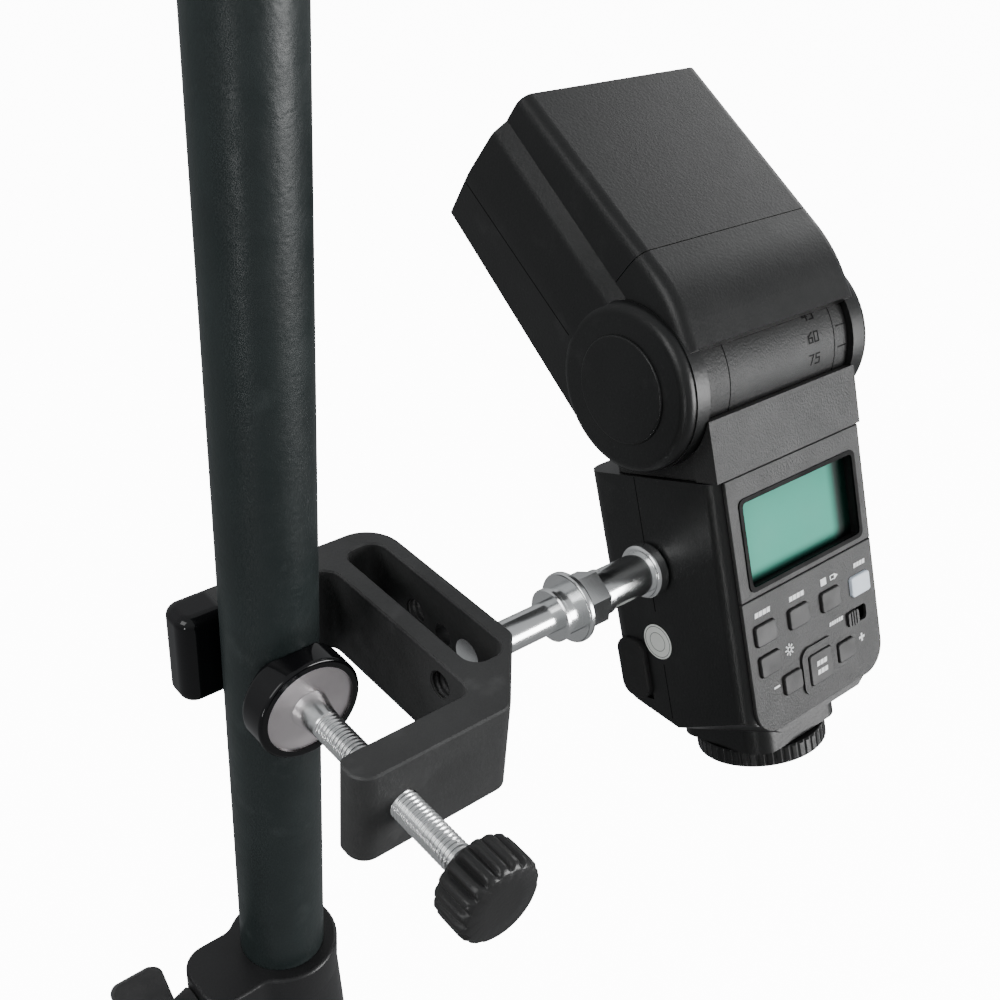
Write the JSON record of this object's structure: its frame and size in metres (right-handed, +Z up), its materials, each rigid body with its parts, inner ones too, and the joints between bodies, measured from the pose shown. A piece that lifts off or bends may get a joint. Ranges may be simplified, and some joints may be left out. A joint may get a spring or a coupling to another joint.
{
  "type": "light stand with clamped flash",
  "caption": "Compact turtle-base C-stand with telescopic risers, a C-clamp on the riser and a battery flash held on a chromed spigot.",
  "frame": {"origin": "on the column's axis at floor level, in the middle of the column's rubber foot", "axes": "+Z up along the column; +X from the column towards the flash unit; -Y the side of the clamp's knob and, tilted up, of the flash unit's display"},
  "size_m": [0.4299, 0.4421, 0.716],
  "materials": {
    "tube_black": "satin powder coat",
    "cast_black": "matt powder coat",
    "moulded_black": "fine grain",
    "knob_black": "satin",
    "rubber": "matt",
    "gloss_rubber": "glossy dip",
    "nylon": "natural",
    "zinc": "bright zinc",
    "steel": "turned",
    "chrome": "polished",
    "flash_black": "fine grain",
    "panel_grey": "satin sheen",
    "display_green": "liquid crystal",
    "key_black": "satin",
    "key_white": "translucent",
    "dark_window": "polished dark red",
    "battery_sleeve": "printed sleeve, plain",
    "lens_clear": "clear ribbed",
    "tube_glass": "clear",
    "card_white": "white"
  },
  "bodies": {
    "base": {"column_tube": "tube_black", "column_foot": "rubber", "column_collar": "moulded_black", "leg_1_ring": "cast_black", "leg_1_tube": "tube_black", "leg_1_foot": "rubber"},
    "leg_2": {"leg_2_ring": "cast_black", "leg_2_tube": "tube_black", "leg_2_foot": "rubber"},
    "leg_3": {"leg_3_ring": "cast_black", "leg_3_tube": "tube_black", "leg_3_foot": "rubber"},
    "leg_lock": {"leg_lock_knob": "moulded_black"},
    "wing_knob_1": {"wing_knob_1": "moulded_black"},
    "riser_1_bush": {"riser_1_bush": "nylon"},
    "riser_1": {"riser_1_tube": "tube_black", "riser_collar": "moulded_black"},
    "wing_knob_2": {"wing_knob_2": "moulded_black"},
    "riser_2_bush": {"riser_2_bush": "nylon"},
    "riser_2": {"riser_2_tube": "tube_black", "top_stud": "zinc"},
    "clamp": {"clamp_frame": "cast_black", "jaw_cap": "gloss_rubber", "spigot_shaft": "chrome", "spigot_body": "chrome"},
    "clamp_pad": {"pad_disc": "steel", "pad_cap": "gloss_rubber"},
    "clamp_screw": {"clamp_screw": "zinc", "clamp_knob": "knob_black"},
    "flash_body": {"body_front_shell": "flash_black", "body_rear_shell": "flash_black", "display_panel": "panel_grey", "keypad_panel": "panel_grey", "display": "display_green", "side_bush": "steel", "port_cover": "rubber", "sensor_window": "dark_window", "batteries": "battery_sleeve", "foot_block": "flash_black", "hot_shoe": "steel"},
    "option_switch": {"option_switch": "key_black"},
    "battery_door": {"battery_door": "flash_black"},
    "lock_wheel": {"lock_wheel": "flash_black"},
    "neck": {"neck_yoke": "panel_grey"},
    "head": {"head_lower_shell": "flash_black", "head_top_cover": "flash_black", "head_rear_cover": "flash_black", "head_pivot_caps": "flash_black", "head_lens": "lens_clear", "flash_tube": "tube_glass"},
    "bounce_card": {"bounce_card": "card_white"},
    "wide_panel": {"wide_panel": "lens_clear"},
    "key_mode": {"key_mode": "key_black"},
    "key_zoom": {"key_zoom": "key_black"},
    "key_sync": {"key_sync": "key_black"},
    "key_test": {"key_test": "key_white"},
    "key_light": {"key_light": "key_black"},
    "key_minus": {"key_minus": "key_black"},
    "key_set": {"key_set": "key_black"},
    "key_plus": {"key_plus": "key_black"}
  },
  "joints": [
    {"name": "leg_2_swing", "type": "hinge", "parent": "base", "child": "leg_2", "pos_m": [0, 0, 0.102], "axis": [0, 0, 1], "range_deg": [-95, 20]},
    {"name": "leg_3_swing", "type": "hinge", "parent": "base", "child": "leg_3", "pos_m": [0, 0, 0.074], "axis": [0, 0, 1], "range_deg": [-20, 95]},
    {"name": "wing_leg_lock_turn", "type": "hinge", "parent": "base", "child": "leg_lock", "pos_m": [0, 0, 0.13], "axis": [-0.9781, 0.2079, 0], "range_deg": [0, 720]},
    {"name": "wing_knob_1_turn", "type": "hinge", "parent": "base", "child": "wing_knob_1", "pos_m": [0, 0, 0.251], "axis": [-1, 0, 0], "range_deg": [0, 720]},
    {"name": "riser_1_height", "type": "slide", "parent": "base", "child": "riser_1_bush", "axis": [0, 0, 1], "range_m": [-0.05, 0.05]},
    {"name": "riser_1_turn", "type": "hinge", "parent": "riser_1_bush", "child": "riser_1", "pos_m": [0, 0, 0.2], "axis": [0, 0, 1], "continuous": true},
    {"name": "wing_knob_2_turn", "type": "hinge", "parent": "riser_1", "child": "wing_knob_2", "pos_m": [0, 0, 0.383], "axis": [-1, 0, 0], "range_deg": [0, 720]},
    {"name": "riser_2_height", "type": "slide", "parent": "riser_1", "child": "riser_2_bush", "axis": [0, 0, 1], "range_m": [-0.04, 0.055]},
    {"name": "riser_2_turn", "type": "hinge", "parent": "riser_2_bush", "child": "riser_2", "pos_m": [0, 0, 0.4], "axis": [0, 0, 1], "continuous": true},
    {"name": "clamp_height", "type": "slide", "parent": "riser_2", "child": "clamp", "axis": [0, 0, 1], "range_m": [-0.05, 0.11]},
    {"name": "clamp_feed", "type": "slide", "parent": "clamp", "child": "clamp_pad", "axis": [0, -1, 0], "range_m": [0, 0.022]},
    {"name": "clamp_screw_turn", "type": "hinge", "parent": "clamp_pad", "child": "clamp_screw", "pos_m": [0, -0.05, 0.5], "axis": [0, -1, 0], "range_deg": [0, 6340]},
    {"name": "flash_tilt", "type": "hinge", "parent": "clamp", "child": "flash_body", "pos_m": [0.1153, -0.0251, 0.5], "axis": [1, 0, 0], "range_deg": [-67.65, 112.35]},
    {"name": "head_swivel", "type": "hinge", "parent": "flash_body", "child": "neck", "pos_m": [0.1478, -0.01792, 0.52797], "axis": [0, 0.3803, 0.9249], "range_deg": [-90, 180]},
    {"name": "head_tilt", "type": "hinge", "parent": "neck", "child": "head", "pos_m": [0.1478, -0.01082, 0.55576], "axis": [1, 0, 0], "range_deg": [-54.5, 35.5]},
    {"name": "bounce_card_slide", "type": "slide", "parent": "head", "child": "bounce_card", "axis": [0, 0.8467, 0.5321], "range_m": [0, 0.038]},
    {"name": "wide_panel_slide", "type": "slide", "parent": "head", "child": "wide_panel", "axis": [0, 0.8467, 0.5321], "range_m": [0, 0.034]},
    {"name": "battery_door_swing", "type": "hinge", "parent": "flash_body", "child": "battery_door", "pos_m": [0.1793, -0.02658, 0.50061], "axis": [0, 0.3803, 0.9249], "range_deg": [0, 100]},
    {"name": "wheel_lock_turn", "type": "hinge", "parent": "flash_body", "child": "lock_wheel", "pos_m": [0.1478, -0.05428, 0.43955], "axis": [0, 0.3803, 0.9249], "range_deg": [0, 360]},
    {"name": "key_mode_press", "type": "slide", "parent": "flash_body", "child": "key_mode", "axis": [0, 0.9249, -0.3803], "range_m": [0, 0.0008], "stiffness_N_per_m": 800},
    {"name": "key_zoom_press", "type": "slide", "parent": "flash_body", "child": "key_zoom", "axis": [0, 0.9249, -0.3803], "range_m": [0, 0.0008], "stiffness_N_per_m": 800},
    {"name": "key_sync_press", "type": "slide", "parent": "flash_body", "child": "key_sync", "axis": [0, 0.9249, -0.3803], "range_m": [0, 0.0008], "stiffness_N_per_m": 800},
    {"name": "key_test_press", "type": "slide", "parent": "flash_body", "child": "key_test", "axis": [0, 0.9249, -0.3803], "range_m": [0, 0.0008], "stiffness_N_per_m": 800},
    {"name": "key_light_press", "type": "slide", "parent": "flash_body", "child": "key_light", "axis": [0, 0.9249, -0.3803], "range_m": [0, 0.0008], "stiffness_N_per_m": 800},
    {"name": "key_minus_press", "type": "slide", "parent": "flash_body", "child": "key_minus", "axis": [0, 0.9249, -0.3803], "range_m": [0, 0.0008], "stiffness_N_per_m": 800},
    {"name": "key_set_press", "type": "slide", "parent": "flash_body", "child": "key_set", "axis": [0, 0.9249, -0.3803], "range_m": [0, 0.0008], "stiffness_N_per_m": 800},
    {"name": "key_plus_press", "type": "slide", "parent": "flash_body", "child": "key_plus", "axis": [0, 0.9249, -0.3803], "range_m": [0, 0.0008], "stiffness_N_per_m": 800},
    {"name": "option_switch_slide", "type": "slide", "parent": "flash_body", "child": "option_switch", "axis": [1, 0, 0], "range_m": [0, 0.0045]}
  ],
  "couplings": [
    {"joint": "clamp_screw_turn", "follows": "clamp_feed", "rad_per_m": 5026.5}
  ]
}
